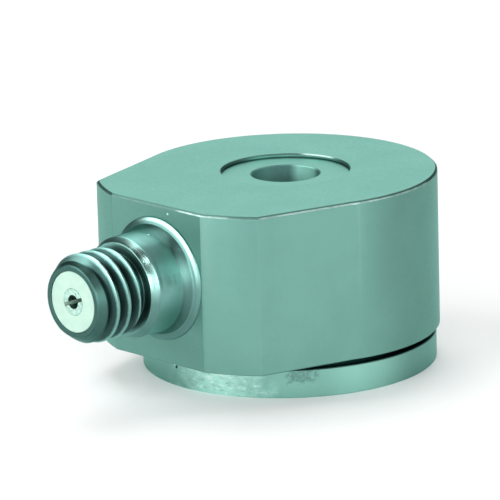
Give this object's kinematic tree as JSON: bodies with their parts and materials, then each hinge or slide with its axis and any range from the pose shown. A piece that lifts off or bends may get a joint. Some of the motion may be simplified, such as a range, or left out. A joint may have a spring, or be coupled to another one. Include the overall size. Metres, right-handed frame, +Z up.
{
  "type": "vibration sensor",
  "caption": "Ring-style vibration sensor: a tapered metal housing on a round base, with a through hole for its mounting screw and a threaded coaxial jack on one side.",
  "frame": {"origin": "on the axis of the through hole, in the plane of the mounting face", "axes": "+Z up the through hole, away from the surface it is mounted on; +X out along the connector"},
  "size_m": [0.024, 0.0164, 0.0105],
  "materials": {
    "titanium": "fine-blasted titanium",
    "connector_steel": "turned stainless steel",
    "white_insulator": "turned white fluoropolymer",
    "contact_plating": "thin plating on a copper alloy",
    "seal_glass": "fused sealing glass",
    "film_polymer": "machined high-temperature polymer",
    "piezo_ceramic": "fired ceramic",
    "tungsten": "sintered heavy alloy",
    "board_ceramic": "fired alumina",
    "component_black": "moulded epoxy",
    "capacitor_tan": "fired ceramic",
    "lead_wire": "gold-plated wire"
  },
  "bodies": {
    "root": {"base": "titanium", "housing": "titanium", "insulating_sleeve": "film_polymer", "piezo_ring": "piezo_ceramic", "seismic_mass": "tungsten", "board_spacer": "film_polymer", "circuit_board": "board_ceramic", "amplifier_chip": "component_black", "bias_resistors": "component_black", "coupling_capacitor": "capacitor_tan", "signal_lead": "lead_wire", "output_lead": "lead_wire", "ground_lead": "lead_wire", "connector_shell": "connector_steel", "glass_seal": "seal_glass", "insulator": "white_insulator", "centre_contact": "contact_plating"}
  },
  "joints": []
}
